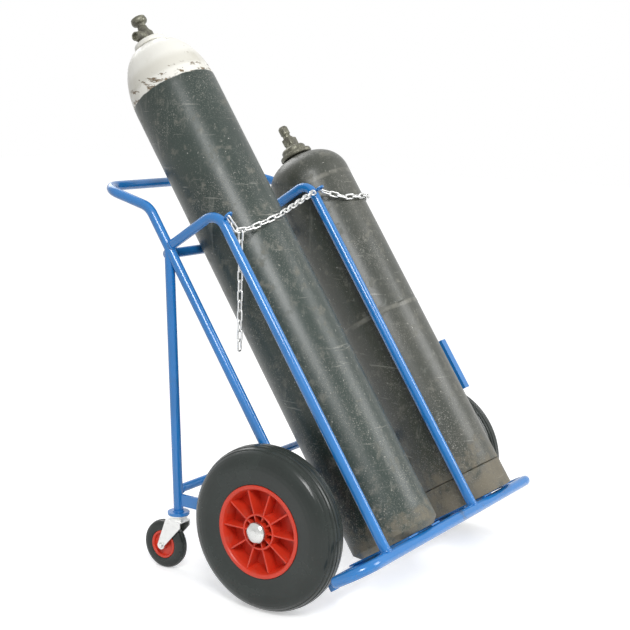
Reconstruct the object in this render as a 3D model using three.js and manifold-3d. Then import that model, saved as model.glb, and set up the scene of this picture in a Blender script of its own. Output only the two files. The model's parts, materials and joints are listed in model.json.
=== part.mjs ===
// Two-cylinder welding cart: a leaning tube frame on two large wheels and two trailing castors,
// with a foot bar, retaining hoops, a safety chain and two gas cylinders that lift out.
// Millimetres, +Z up, -Y is the front (foot bar), +Y the back (push handle), X along the axle.
import * as THREE from 'three';
import { mergeVertices } from 'three/addons/utils/BufferGeometryUtils.js';
import Module from 'manifold-3d';

// Driving dimensions
const GAP = 0.3;
const LEAN = THREE.MathUtils.degToRad(33.5);
const TUBE_R = 12.5;
const TUBE_WALL = 2;
const TOE_R = 14;

const WHEEL_R = 200;
const WHEEL_HALF_WIDTH = 47;
const RIM_R = 112;
const TRACK_X = 410;
const RIB_COUNT = 10;
const AXLE_R = 10;
const AXLE_U = -43.8;
const AXLE_V = 256.2;

const RAIL_X = 338;
const RAIL_FOOT_V = 56;
const RAIL_BEND_V = 1092.6;
const HANDLE_BEND = THREE.MathUtils.degToRad(41.6);
const HANDLE_ARM = 160;
const HOOP_U = 180;
const HOOP_BEND_R = 42;
const LEFT_HOOP_V = 979;
const MID_HOOP_X = 96;
const MID_HOOP_V = 1034;
const MID_BEND_R = 37;
const TOE_V = 72;
const TOE_HALF = 445;
const CROSS_U = -2 * TUBE_R - GAP;
const UPPER_CROSS_V = 972;
const LOWER_CROSS_V = 330;
const BASE_CROSS_V = 73.5;
const STRAP = { width: 40, thick: 4, v: 86.3, spread: 55 };
const GUARD = { x: 350.9, thick: 3, low: 370, high: 518, front: 178, lip: 20 };

const LEG_TOP_V = 982;
const LEG_FOOT_Y = 328;
const LEG_CROSS_Z = 212;
const CASTOR = { r: 62.5, halfWidth: 15, rimR: 32, trail: 41, top: 148 };

const TALL = { x: -164, u: 101, r: 113, base: 90.8, shoulder: 1345, neck: 1508, wall: 6 };
const SHORT = { x: 233, u: 103, r: 115, base: 90.8, seam: 164, shoulder: 1068, neck: 1160, wall: 6 };

const LINK = { wire: 2.5, turn: 6, half: 14.5, pitch: 24.4, standOff: 10 };
const EYE = { ring: 9, wire: 3 };
const EYE_CLEAR = EYE.ring + EYE.wire + 6;
const CHAIN_DROP = { x: -297, u: 183, v: 912 };
const TAIL_LINKS = 12;

// Finishes
const finish = (color, roughness, metalness) => new THREE.MeshStandardMaterial({ color, roughness, metalness });
const BLUE = finish(0x2f78c8, 0.35, 0.1);
const RED = finish(0xc9302a, 0.45, 0);
const RUBBER = finish(0x2a2e2d, 0.85, 0);
const ZINC = finish(0xc4c8c8, 0.35, 0.9);
const BRONZE = finish(0x4a4638, 0.5, 0.7);
const DARK_PAINT = finish(0x39423d, 0.6, 0.2);

// Solid modelling helpers
const wasm = await Module();
wasm.setup();

// One indexed closed body: shared corners merged, empty triangles dropped, faces turned outward.
function solid(geometry) {
  geometry.deleteAttribute('normal');
  geometry.deleteAttribute('uv');
  const merged = mergeVertices(geometry, 1e-3);
  const p = merged.attributes.position;
  const corners = [0, 1, 2].map(() => new THREE.Vector3());
  const triangles = [];
  let volume = 0;
  for (let i = 0; i < merged.index.count; i += 3) {
    const [a, b, c] = [0, 1, 2].map((k) => merged.index.getX(i + k));
    if (a === b || b === c || c === a) continue;
    triangles.push([a, b, c]);
    [a, b, c].forEach((n, k) => corners[k].fromBufferAttribute(p, n));
    volume += corners[0].dot(corners[1].clone().cross(corners[2]));
  }
  const outward = volume < 0 ? triangles.map(([a, b, c]) => [a, c, b]) : triangles;
  merged.setIndex(new THREE.BufferAttribute(new Uint32Array(outward.flat()), 1));
  return merged;
}

function manifoldOf(geometry) {
  const g = solid(geometry);
  const mesh = { numProp: 3, vertProperties: g.attributes.position.array, triVerts: g.index.array };
  return new wasm.Manifold(new wasm.Mesh(mesh));
}

function geometryOf(manifold) {
  const { vertProperties, triVerts } = manifold.getMesh();
  const g = new THREE.BufferGeometry();
  g.setAttribute('position', new THREE.BufferAttribute(new Float32Array(vertProperties), 3));
  g.setIndex(new THREE.BufferAttribute(new Uint32Array(triVerts), 1));
  return g;
}

const join = (parts) => geometryOf(parts.map(manifoldOf).reduce((a, b) => a.add(b)));
const cut = (body, tools) => geometryOf(tools.map(manifoldOf).reduce((a, b) => a.subtract(b), manifoldOf(body)));

// Straight runs joined by arcs of one radius; the section is drawn only at run ends and round the arcs.
class BentPath extends THREE.Curve {
  constructor(corners, bendR, bendSteps) {
    super();
    this.stations = [corners[0]];
    for (let i = 1; i < corners.length - 1; i++) {
      const into = corners[i].clone().sub(corners[i - 1]).normalize();
      const away = corners[i + 1].clone().sub(corners[i]).normalize();
      const turn = into.angleTo(away);
      const start = corners[i].clone().addScaledVector(into, -bendR * Math.tan(turn / 2));
      const inward = away.clone().addScaledVector(into, -away.dot(into)).normalize();
      for (let k = 0; k <= bendSteps; k++) {
        const a = (turn * k) / bendSteps;
        const onArc = start.clone().addScaledVector(into, bendR * Math.sin(a));
        this.stations.push(onArc.addScaledVector(inward, bendR * (1 - Math.cos(a))));
      }
    }
    this.stations.push(corners.at(-1));
  }

  get steps() {
    return this.stations.length - 1;
  }

  getPointAt(t) {
    return this.stations[Math.round(t * this.steps)].clone();
  }

  getTangentAt(t) {
    const i = Math.round(t * this.steps);
    const before = this.stations[Math.max(i - 1, 0)];
    const after = this.stations[Math.min(i + 1, this.steps)];
    const here = this.stations[i];
    const into = i > 0 ? here.clone().sub(before).normalize() : after.clone().sub(here).normalize();
    const away = i < this.steps ? after.clone().sub(here).normalize() : into.clone();
    return into.add(away).normalize();
  }
}

const ringPoints = (r, sides) =>
  Array.from({ length: sides }, (_, i) => {
    const a = (2 * Math.PI * (i + 0.5)) / sides;
    return new THREE.Vector2(r * Math.cos(a), r * Math.sin(a));
  });

// Hollow round tube with open ends through the given corner points.
function tube(corners, { r = TUBE_R, wall = TUBE_WALL, bendR = 60, bendSteps = 5, sides = 8 } = {}) {
  const section = new THREE.Shape(ringPoints(r, sides));
  if (wall) section.holes.push(new THREE.Path(ringPoints(r - wall, sides)));
  const extrudePath = new BentPath(corners, bendR, bendSteps);
  return solid(new THREE.ExtrudeGeometry(section, { steps: extrudePath.steps, extrudePath }));
}

// Turned piece: [radius, height] pairs, along Z, or along X when flat is true.
function turned(profile, segments = 24, flat = false) {
  const lathe = new THREE.LatheGeometry(profile.map(([r, h]) => new THREE.Vector2(r, h)), segments);
  return solid(flat ? lathe.rotateZ(-Math.PI / 2) : lathe.rotateX(Math.PI / 2));
}

// Plate standing in the YZ plane, drawn as a [y, z] outline and centred on x = 0.
function sidePlate(outline, thick) {
  const shape = outline instanceof THREE.Shape ? outline : new THREE.Shape(outline.map(([y, z]) => new THREE.Vector2(y, z)));
  const plate = new THREE.ExtrudeGeometry(shape, { depth: thick, bevelEnabled: false, curveSegments: 6 });
  const [x, y, z] = [[1, 0, 0], [0, 1, 0], [0, 0, 1]].map((v) => new THREE.Vector3(...v));
  return solid(plate.translate(0, 0, -thick / 2).applyMatrix4(new THREE.Matrix4().makeBasis(y, z, x)));
}

const block = (sx, sy, sz, x, y, z) => solid(new THREE.BoxGeometry(sx, sy, sz).translate(x, y, z));

// Assembly groups: the whole cart, and the leaning frame whose local Z runs up the rails.
const cart = new THREE.Group();
const leaning = new THREE.Group();
leaning.rotation.x = -LEAN;
leaning.position.set(0, 0, WHEEL_R).sub(new THREE.Vector3(0, -AXLE_U, AXLE_V).applyEuler(leaning.rotation));
cart.add(leaning);
leaning.updateMatrix();

// Point of the leaning frame: u is forward of the back rails, v is up along them.
const at = (x, u, v) => new THREE.Vector3(x, -u, v);
const level = (x, u, v) => at(x, u, v).applyMatrix4(leaning.matrix);

function add(name, geometry, material, group = cart, position = [0, 0, 0]) {
  const mesh = new THREE.Mesh(geometry, material);
  mesh.name = name;
  mesh.position.set(...position);
  group.add(mesh);
  return mesh;
}

const SIDES = [['left', -1], ['right', 1]];

// Leaning frame
const armEnd = (x) => at(x, -HANDLE_ARM * Math.sin(HANDLE_BEND), RAIL_BEND_V + HANDLE_ARM * Math.cos(HANDLE_BEND));
const railLine = [at(-RAIL_X, 0, RAIL_FOOT_V), at(-RAIL_X, 0, RAIL_BEND_V), armEnd(-RAIL_X)];
const mirrored = railLine.map((p) => new THREE.Vector3(-p.x, p.y, p.z)).reverse();
add('back_frame', tube([...railLine, ...mirrored], { bendR: 55 }), BLUE, leaning);

const toeTop = TOE_V + TOE_R + GAP;
const leftHoop = [at(-RAIL_X, TUBE_R + GAP, LEFT_HOOP_V), at(-RAIL_X, HOOP_U, LEFT_HOOP_V), at(-RAIL_X, HOOP_U, toeTop)];
add('left_hoop', tube(leftHoop, { bendR: HOOP_BEND_R, bendSteps: 6 }), BLUE, leaning);

const midRear = [at(MID_HOOP_X, CROSS_U, UPPER_CROSS_V + TUBE_R + GAP), at(MID_HOOP_X, CROSS_U, MID_HOOP_V)];
const midFront = [at(MID_HOOP_X, HOOP_U, MID_HOOP_V), at(MID_HOOP_X, HOOP_U, toeTop)];
add('mid_hoop', tube([...midRear, ...midFront], { bendR: MID_BEND_R, bendSteps: 6 }), BLUE, leaning);

const toeHook = (side) => at(side * TOE_HALF, HOOP_U - 66, TOE_V);
const toeLine = [toeHook(-1), at(-TOE_HALF, HOOP_U, TOE_V), at(TOE_HALF, HOOP_U, TOE_V), toeHook(1)];
add('toe_bar', tube(toeLine, { r: TOE_R, bendR: 55 }), BLUE, leaning);

const crossTube = (half, u, v) => tube([at(-half, u, v), at(half, u, v)]);
const betweenRails = RAIL_X - TUBE_R - GAP;
add('upper_cross_tube', crossTube(betweenRails, CROSS_U, UPPER_CROSS_V), BLUE, leaning);
add('lower_cross_tube', crossTube(RAIL_X + 8, CROSS_U, LOWER_CROSS_V), BLUE, leaning);
add('base_cross_tube', crossTube(betweenRails, 0, BASE_CROSS_V), BLUE, leaning);

const strapLength = HOOP_U + 16;
for (const [name, holder] of [['tall', TALL], ['short', SHORT]]) {
  for (const [side, sign] of SIDES) {
    const x = holder.x + sign * STRAP.spread;
    const bar = block(STRAP.width, strapLength, STRAP.thick, x, 8 - strapLength / 2, STRAP.v + STRAP.thick / 2);
    add(`${name}_base_strap_${side}`, bar, BLUE, leaning);
  }
}

const lipFront = GUARD.x + GUARD.thick;
const guardOutline = [
  [GUARD.x, 8], [GUARD.x, -GUARD.front], [lipFront + GUARD.lip, -GUARD.front],
  [lipFront + GUARD.lip, GUARD.thick - GUARD.front], [lipFront, GUARD.thick - GUARD.front], [lipFront, 8],
];
const guardShape = new THREE.Shape(guardOutline.map(([x, y]) => new THREE.Vector2(x, y)));
const guard = new THREE.ExtrudeGeometry(guardShape, { depth: GUARD.high - GUARD.low, bevelEnabled: false });
add('wheel_guard', solid(guard.translate(0, 0, GUARD.low)), BLUE, leaning);

// Axle, its brackets and spacers
const bracketRear = 68;
const bracketShape = new THREE.Shape([
  new THREE.Vector2(TUBE_R + GAP, AXLE_V - 30), new THREE.Vector2(bracketRear, AXLE_V - 30),
  new THREE.Vector2(bracketRear, AXLE_V + 30), new THREE.Vector2(TUBE_R + GAP, AXLE_V + 30),
]);
bracketShape.holes.push(new THREE.Path().absarc(-AXLE_U, AXLE_V, AXLE_R + 0.5, 0, 2 * Math.PI));
const axleHalf = TRACK_X + WHEEL_HALF_WIDTH + 6;
const axleProfile = [[0, -axleHalf], [AXLE_R, -axleHalf], [AXLE_R, axleHalf], [0, axleHalf]];
add('axle', turned(axleProfile, 20, true), ZINC, cart, [0, 0, WHEEL_R]);
for (const [side, sign] of SIDES) {
  add(`axle_bracket_${side}`, sidePlate(bracketShape, 8), BLUE, leaning, [sign * RAIL_X, 0, 0]);
  const spacer = [[AXLE_R + 0.5, -9.5], [16, -9.5], [16, 9.5], [AXLE_R + 0.5, 9.5], [AXLE_R + 0.5, -9.5]];
  add(`wheel_spacer_${side}`, turned(spacer, 20, true), ZINC, cart, [sign * 352, 0, WHEEL_R]);
}

// Main wheels: heights run outward along the axle
const FLANGE_X = WHEEL_HALF_WIDTH - 4;
const SEAT_R = 100;
const tyreOuter = [
  [RIM_R + 0.4, 35], [RIM_R + 0.4, 43], [128, WHEEL_HALF_WIDTH], [166, 46], [187, 39], [190, 35], [197, 26],
  [193, 22], [193, 17], [WHEEL_R, 14],
];
const tyreInner = [[184, 14], [170, 32], [135, 38], [113.5, 30], [SEAT_R + 0.4, 24]];
const oneSide = [...tyreOuter].reverse().concat([[SEAT_R + 0.4, 34.6]]);
const flip = (points) => points.map(([r, h]) => [r, -h]);
const tyreProfile = [
  ...oneSide, ...[...tyreInner].reverse(), ...flip(tyreInner), ...flip([...oneSide].reverse()), oneSide[0],
];

const HUB_R = 26;
const RING = { inner: 46, outer: 50 };
const half = 45;
const rimProfile = [
  [AXLE_R + 0.5, -half], [HUB_R, -half], [HUB_R, -4], [94, -4], [94, -FLANGE_X], [RIM_R, -FLANGE_X], [RIM_R, -35],
  [SEAT_R, -35], [SEAT_R, 35], [RIM_R, 35], [RIM_R, FLANGE_X], [94, FLANGE_X], [94, 4], [RING.outer, 4],
  [RING.outer, 34], [RING.inner, 34], [RING.inner, 4], [HUB_R, 4], [HUB_R, half], [AXLE_R + 0.5, half],
  [AXLE_R + 0.5, -half],
];
function wheelCentre() {
  const ribs = Array.from({ length: RIB_COUNT }, (_, i) => {
    const rib = block(71, 95 - HUB_R + 2, 4.5, 0, HUB_R + (95 - HUB_R) / 2, 0);
    return rib.rotateX((2 * Math.PI * i) / RIB_COUNT);
  });
  return join([turned(rimProfile, 26, true), ...ribs]);
}
// Domed push-on cap, hollow where the axle end enters it
const capBore = AXLE_R + 0.5;
const capProfile = [[0, 15], [14, 13], [20, 9], [22, 4], [22, 0], [capBore, 0], [capBore, 7.5], [0, 7.5]];
for (const [side, sign] of SIDES) {
  const wheel = new THREE.Group();
  wheel.position.set(sign * TRACK_X, 0, WHEEL_R);
  wheel.rotation.z = sign > 0 ? 0 : Math.PI;
  cart.add(wheel);
  add(`main_tyre_${side}`, turned(tyreProfile, 26, true), RUBBER, wheel);
  add(`wheel_centre_${side}`, wheelCentre(), RED, wheel);
  add(`hub_cap_${side}`, turned(capProfile, 20, true), ZINC, wheel, [half + 1, 0, 0]);
}

// Rear legs, braces and castors
const castorAxleY = LEG_FOOT_Y + CASTOR.trail;
const flangeTop = CASTOR.top + 8.3;
const headProfile = [
  [0, 170], [7.5, 170], [7.5, CASTOR.top], [25, CASTOR.top], [25, 142], [5, 142], [5, 129.7], [8, 129.7], [8, 126], [0, 126],
];
const flangeProfile = [
  [8.3, CASTOR.top + GAP], [28, CASTOR.top + GAP], [28, flangeTop], [8.3, flangeTop], [8.3, CASTOR.top + GAP],
];
const castorTyre = [
  [CASTOR.rimR + GAP, -13], [45, -CASTOR.halfWidth], [56, -14], [61, -9], [58, -6.5], [58, -4], [CASTOR.r, -3],
  [CASTOR.r, 3], [58, 4], [58, 6.5], [61, 9], [56, 14], [45, CASTOR.halfWidth], [CASTOR.rimR + GAP, 13],
  [CASTOR.rimR + GAP, -13],
];
const castorHub = [
  [4.6, -17.5], [11, -17.5], [11, -6], [26, -6], [26, -13], [CASTOR.rimR, -13], [CASTOR.rimR, 13], [26, 13],
  [26, 6], [11, 6], [11, 17.5], [4.6, 17.5], [4.6, -17.5],
];
const castorBolt = [[0, -27], [7, -27], [7, -21.9], [4, -21.9], [4, 21.9], [7, 21.9], [7, 27], [0, 27]];

// Pressed fork: a crown under the swivel head and two cheeks that trail back to the wheel bolt.
function castorFork() {
  const cheek = new THREE.Shape();
  cheek.moveTo(-20, 134.4);
  cheek.lineTo(26, 134.4);
  cheek.lineTo(CASTOR.trail + 11, CASTOR.r);
  cheek.absarc(CASTOR.trail, CASTOR.r, 11, 0, -Math.PI, true);
  cheek.lineTo(-20, 118);
  cheek.holes.push(new THREE.Path().absarc(CASTOR.trail, CASTOR.r, 4.4, 0, 2 * Math.PI));
  const cheeks = [-20, 20].map((x) => sidePlate(cheek, 3).translate(x, 0, 0));
  const crown = block(43, 46, 4.4, 0, 3, 132.2);
  const boss = turned([[0, 133], [22, 133], [22, 141.7], [0, 141.7]], 20);
  const pinHole = turned([[0, 120], [5.5, 120], [5.5, 150], [0, 150]], 16);
  return cut(join([crown, boss, ...cheeks]), [pinHole]);
}

for (const [side, sign] of SIDES) {
  const x = sign * RAIL_X;
  const legTop = level(x, 0, LEG_TOP_V);
  const legFoot = new THREE.Vector3(x, LEG_FOOT_Y, flangeTop + 1.2);
  const railClear = tube([at(x, 0, LEG_TOP_V - 120), at(x, 0, LEG_TOP_V + 90)], { r: TUBE_R + GAP + 0.4, wall: 0, sides: 20 });
  const leg = tube([legFoot, legTop]);
  add(`rear_leg_${side}`, cut(leg, [railClear.applyMatrix4(leaning.matrix)]), BLUE);

  const braceZ = 187;
  const bracketFace = (z) => {
    const low = level(0, -bracketRear - GAP, AXLE_V - 30);
    const high = level(0, -bracketRear - GAP, AXLE_V + 30);
    return low.y + ((high.y - low.y) * (z - low.z)) / (high.z - low.z);
  };
  const legAxisY = (z) => legFoot.y + ((legTop.y - legFoot.y) * (z - legFoot.z)) / (legTop.z - legFoot.z);
  const brace = [[bracketFace(braceZ - 15), braceZ - 15], [bracketFace(braceZ + 15), braceZ + 15]];
  for (const z of [braceZ + 15, braceZ - 15]) brace.push([legAxisY(z) - TUBE_R - 2 * GAP, z]);
  add(`leg_brace_${side}`, sidePlate(brace, 8), BLUE, cart, [x, 0, 0]);
  if (sign > 0) {
    const ends = [-1, 1].map((s) => new THREE.Vector3(s * betweenRails, legAxisY(LEG_CROSS_Z), LEG_CROSS_Z));
    add('leg_cross_tube', tube(ends, { r: 11 }), BLUE);
  }

  const castor = new THREE.Group();
  castor.position.set(x, LEG_FOOT_Y, 0);
  cart.add(castor);
  add(`castor_flange_${side}`, turned(flangeProfile, 16), BLUE, castor);
  add(`castor_head_${side}`, turned(headProfile, 14), ZINC, castor);
  add(`castor_fork_${side}`, castorFork(), ZINC, castor);
  const hubAt = [0, CASTOR.trail, CASTOR.r];
  add(`castor_bolt_${side}`, turned(castorBolt, 10, true), ZINC, castor, hubAt);
  add(`castor_hub_${side}`, turned(castorHub, 20, true), RED, castor, hubAt);
  add(`castor_tyre_${side}`, turned(castorTyre, 20, true), RUBBER, castor, hubAt);
}

// Gas cylinders: steel shells with a dished base and an open neck that the valve screws into
const NECK_BORE = 14;
const NECK_R = 32;
function shell({ r, base, shoulder, neck, wall }, outerFoot, outerShoulder) {
  const inner = r - wall;
  const innerShoulder = outerShoulder.map(([q, v]) => [q - wall, v - wall]).reverse();
  return [
    [0, base + 16], [r * 0.6, base + 10], ...outerFoot, [r, shoulder], ...outerShoulder,
    [NECK_R, neck - 8.5], [NECK_R, neck], [NECK_BORE, neck],
    [NECK_BORE, neck - 24], ...innerShoulder, [inner, shoulder], [inner, base + 34], [r * 0.6, base + 20], [0, base + 26],
  ];
}
function roundedShoulder({ r, shoulder, neck }, drop, steps) {
  const rise = neck - drop - shoulder;
  return Array.from({ length: steps }, (_, i) => {
    const a = ((i + 1) / (steps + 0.4)) * (Math.PI / 2);
    return [NECK_R + (r - NECK_R) * Math.cos(a), shoulder + rise * Math.sin(a)];
  });
}
const place = ({ x, u }) => {
  const group = new THREE.Group();
  group.position.set(x, -u, 0);
  leaning.add(group);
  return group;
};

const tall = place(TALL);
const tallFoot = [[TALL.r - 14, TALL.base], [TALL.r, TALL.base + 14]];
add('tall_cylinder_shell', turned(shell(TALL, tallFoot, roundedShoulder(TALL, 8, 5)), 26), DARK_PAINT, tall);
const tallRing = [[NECK_R + 1.2, 1501.5], [42, 1501.5], [44, 1506], [42, 1514], [NECK_R + 1.2, 1514], [NECK_R + 1.2, 1501.5]];
add('tall_cylinder_neck_ring', turned(tallRing, 18), DARK_PAINT, tall);
const tallBody = turned([
  [0, 1490], [NECK_BORE - GAP, 1490], [NECK_BORE - GAP, 1508.4], [19, 1508.4], [21, 1514], [21, 1540], [15, 1546],
  [15, 1560], [0, 1560],
], 16);
const outlet = turned([[0, 0], [15, 0], [15, 34], [12, 36], [12, 46], [0, 46]], 14).rotateY(-Math.PI / 2);
add('tall_cylinder_valve', join([tallBody, outlet.translate(0, 0, 1530)]), BRONZE, tall);
const handwheel = [[0, 1560.4], [11, 1560.4], [13, 1568], [20, 1571], [21.5, 1577], [20, 1586.05], [9, 1590], [0, 1592]];
add('tall_cylinder_handwheel', turned(handwheel, 18), BRONZE, tall);

const short = place(SHORT);
const FOOT_WALL = 4;
const shortFoot = [
  [SHORT.r - 22, SHORT.base + 6], [SHORT.r - FOOT_WALL - GAP, SHORT.base + 24],
  [SHORT.r - FOOT_WALL - GAP, SHORT.seam + GAP],
];
add('short_cylinder_shell', turned(shell(SHORT, [...shortFoot, [SHORT.r, SHORT.seam + GAP]], roundedShoulder(SHORT, 14, 4)), 26), DARK_PAINT, short);
const footRing = [
  [SHORT.r - FOOT_WALL, SHORT.base], [SHORT.r, SHORT.base], [SHORT.r, SHORT.seam], [SHORT.r - FOOT_WALL, SHORT.seam],
  [SHORT.r - FOOT_WALL, SHORT.base],
];
add('short_cylinder_foot_ring', turned(footRing, 26), DARK_PAINT, short);
const shortRing = [
  [NECK_R + 1.2, 1152], [44, 1152], [46, 1157], [45, 1164], [35, 1167], [35, 1177], [31, 1182], [24, 1182], [24, 1160.4],
  [NECK_R + 1.2, 1160.4], [NECK_R + 1.2, 1152],
];
add('short_cylinder_neck_ring', turned(shortRing, 18), BRONZE, short);
const shortBody = turned([
  [0, 1142], [NECK_BORE - GAP, 1142], [NECK_BORE - GAP, 1161], [21, 1161], [21, 1184], [16, 1190], [15, 1214], [0, 1214],
], 16);
add('short_cylinder_valve', join([shortBody, block(40, 26, 22, 4, 0, 1202)]), BRONZE, short);
const spindle = [[0, 1214.4], [12, 1214.4], [12, 1220], [10, 1222], [14, 1226], [14, 1246], [10, 1250], [0, 1251]];
add('short_cylinder_spindle', turned(spindle, 14), BRONZE, short);

// Safety chain: welded links, each turned a quarter turn from the last, touching at their ends
const wireRing = (radius, wire, around) => new THREE.TorusGeometry(radius, wire, 4, around);
function linkGeometry() {
  const g = wireRing(LINK.turn, LINK.wire, 6);
  const p = g.attributes.position;
  const stretch = LINK.half - LINK.turn;
  for (let i = 0; i < p.count; i++) p.setX(i, p.getX(i) + Math.sign(p.getX(i)) * stretch);
  return solid(g);
}

// Links at an even pitch along a route of points; up is the outward direction at each place.
function chain(route, outward) {
  const lengths = [0];
  for (let i = 1; i < route.length; i++) lengths.push(lengths[i - 1] + route[i].distanceTo(route[i - 1]));
  const along = (s) => {
    const i = Math.min(Math.max(lengths.findIndex((q) => q >= s), 1), route.length - 1);
    return route[i - 1].clone().lerp(route[i], (s - lengths[i - 1]) / (lengths[i] - lengths[i - 1]));
  };
  const count = Math.floor(lengths.at(-1) / LINK.pitch);
  const pitch = lengths.at(-1) / count;
  const links = Array.from({ length: count }, (_, i) => {
    const a = along(i * pitch);
    const b = along((i + 1) * pitch);
    const x = b.clone().sub(a).normalize();
    const side = outward(a.clone().lerp(b, 0.5)).cross(x).normalize();
    const up = x.clone().cross(side);
    const spin = new THREE.Matrix4().makeRotationX((i % 2 ? 1 : -1) * (Math.PI / 4));
    const frame = new THREE.Matrix4().makeBasis(x, side, up).multiply(spin);
    return linkGeometry().applyMatrix4(frame.setPosition(a.lerp(b, 0.5)));
  });
  return join(links);
}

// Route round a cylinder's front: tangent, arc, tangent; v follows [share of length, v] pairs.
function wrap(from, holder, to, heights, steps = 16) {
  const centre = new THREE.Vector2(holder.x, holder.u);
  const radius = holder.r + LINK.standOff;
  const touch = (p, turn) => {
    const d = p.clone().sub(centre);
    return d.angle() + turn * Math.acos(radius / d.length());
  };
  const first = touch(from, -1);
  const end = touch(to, 1);
  const last = end > first ? end - 2 * Math.PI : end;
  const arc = Array.from({ length: steps + 1 }, (_, i) => {
    const a = first + ((last - first) * i) / steps;
    return new THREE.Vector2(Math.cos(a), Math.sin(a)).multiplyScalar(radius).add(centre);
  });
  const line = (a, b) => Array.from({ length: 8 }, (_, i) => a.clone().lerp(b, i / 8));
  const flat = [...line(from, arc[0]), ...arc.slice(0, -1), ...line(arc.at(-1), to), to];
  const share = [0];
  for (let i = 1; i < flat.length; i++) share.push(share[i - 1] + flat[i].distanceTo(flat[i - 1]));
  const height = (t) => {
    const i = Math.max(heights.findIndex(([q]) => q >= t), 1);
    const [[t0, v0], [t1, v1]] = [heights[i - 1], heights[i]];
    return v0 + ((v1 - v0) * (t - t0)) / (t1 - t0);
  };
  return flat.map((p, i) => at(p.x, p.y, height(Math.min(share[i] / share.at(-1), 1))));
}
const awayFrom = (holder) => (p) => new THREE.Vector3(p.x - holder.x, p.y + holder.u, 0).normalize();

// Eyes stand on the outside of each hoop's front bend, a little above its end
function bendEye(v, bendR, turn) {
  const reach = bendR + TUBE_R + EYE.ring + EYE.wire + GAP;
  return { u: HOOP_U - bendR + reach * Math.cos(turn), v: v - bendR + reach * Math.sin(turn), turn };
}
const eyes = [
  ['chain_eye_left', -RAIL_X, bendEye(LEFT_HOOP_V, HOOP_BEND_R, Math.PI / 12)],
  ['chain_eye_middle', MID_HOOP_X, bendEye(MID_HOOP_V, MID_BEND_R, Math.PI / 36)],
];
for (const [name, x, { u, v, turn }] of eyes) {
  add(name, solid(wireRing(EYE.ring, EYE.wire, 12).rotateX(-turn)), BLUE, leaning, at(x, u, v).toArray());
}
const ANCHOR_V = 985;
const anchorEye = at(RAIL_X, TUBE_R + EYE.ring + EYE.wire + GAP, ANCHOR_V);
add('chain_eye_right', solid(wireRing(EYE.ring, EYE.wire, 12)), BLUE, leaning, anchorEye.toArray());

const HOOK = { u: 196, v: 998 };
const leftRoute = wrap(
  new THREE.Vector2(-RAIL_X + EYE_CLEAR, 190), TALL, new THREE.Vector2(MID_HOOP_X - EYE_CLEAR, HOOK.u),
  [[0, 950], [0.06, 927], [0.12, 916], [0.2, 914], [0.32, 920], [0.44, 928], [1, HOOK.v]],
);
add('chain_span_left', chain(leftRoute, awayFrom(TALL)), ZINC, leaning);
const rightRoute = wrap(
  new THREE.Vector2(MID_HOOP_X + EYE_CLEAR, HOOK.u), SHORT, new THREE.Vector2(RAIL_X + EYE_CLEAR, 34),
  [[0, HOOK.v], [0.08, 980], [0.163, 964], [0.31, 956], [0.48, 962], [1, ANCHOR_V]],
);
add('chain_span_right', chain(rightRoute, awayFrom(SHORT)), ZINC, leaning);

const tailTop = level(CHAIN_DROP.x, CHAIN_DROP.u, CHAIN_DROP.v);
const tailRoute = [tailTop, tailTop.clone().setZ(tailTop.z - TAIL_LINKS * LINK.pitch)];
add('chain_tail', chain(tailRoute, () => new THREE.Vector3(0, -1, 0)), ZINC);

// The origin is on the floor below the middle of the cart's box
cart.updateMatrixWorld(true);
const box = new THREE.Box3().setFromObject(cart, true);
cart.position.set(0, -(box.min.y + box.max.y) / 2, -box.min.z);

export default cart;
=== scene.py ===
"""Looks of a two-cylinder welding cart, built around its fixed CAD frame."""

import json
import math

import bmesh
import bpy
from bpy.props import FloatProperty, FloatVectorProperty, IntProperty, PointerProperty
from mathutils import Matrix, Vector


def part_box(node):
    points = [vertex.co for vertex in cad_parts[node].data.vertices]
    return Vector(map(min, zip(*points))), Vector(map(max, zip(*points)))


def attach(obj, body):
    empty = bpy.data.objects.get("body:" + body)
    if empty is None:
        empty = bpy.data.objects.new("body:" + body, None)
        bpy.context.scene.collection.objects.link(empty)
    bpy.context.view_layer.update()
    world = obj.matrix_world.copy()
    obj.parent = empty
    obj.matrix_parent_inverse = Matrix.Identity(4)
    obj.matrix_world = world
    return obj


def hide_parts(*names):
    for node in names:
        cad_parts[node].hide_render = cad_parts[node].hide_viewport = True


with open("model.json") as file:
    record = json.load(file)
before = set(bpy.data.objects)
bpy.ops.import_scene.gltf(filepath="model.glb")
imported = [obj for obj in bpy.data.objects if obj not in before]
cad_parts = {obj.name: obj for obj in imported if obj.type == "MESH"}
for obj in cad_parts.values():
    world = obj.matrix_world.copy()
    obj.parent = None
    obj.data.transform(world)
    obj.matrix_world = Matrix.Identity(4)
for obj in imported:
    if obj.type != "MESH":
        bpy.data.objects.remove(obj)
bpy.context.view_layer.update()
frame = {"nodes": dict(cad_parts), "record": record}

bl_info = {
    "name": "Welding cart",
    "version": (1, 0, 0),
    "blender": (4, 5, 0),
    "location": "View3D > Sidebar > Welding cart",
    "description": "Finishes a two-cylinder welding cart around its frame",
    "category": "Add Mesh",
}

MM = 0.001
SIDES = (("left", -1), ("right", 1))
BODY_OF = {n: b for b, ns in frame["record"]["behaviour"]["bodies"].items() for n in ns}


def centre(node):
    low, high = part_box(node)
    return (low + high) / 2


# The leaning frame's own axes: x across, u forward of the back rails, v up along them (millimetres)
LEAN = math.radians(33.5)
AXLE = centre("axle")
AXLE_BEHIND_RAILS = 43.8
AXLE_UP_RAILS = 256.2
LEANING = (
    Matrix.Translation(AXLE)
    @ Matrix.Rotation(-LEAN, 4, "X")
    @ Matrix.Translation(Vector((0, -AXLE_BEHIND_RAILS, -AXLE_UP_RAILS)) * MM)
)
UP_RAILS = Vector((0, math.sin(LEAN), math.cos(LEAN)))


def on_frame(x, u, v):
    return LEANING @ (Vector((x, -u, v)) * MM)


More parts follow.
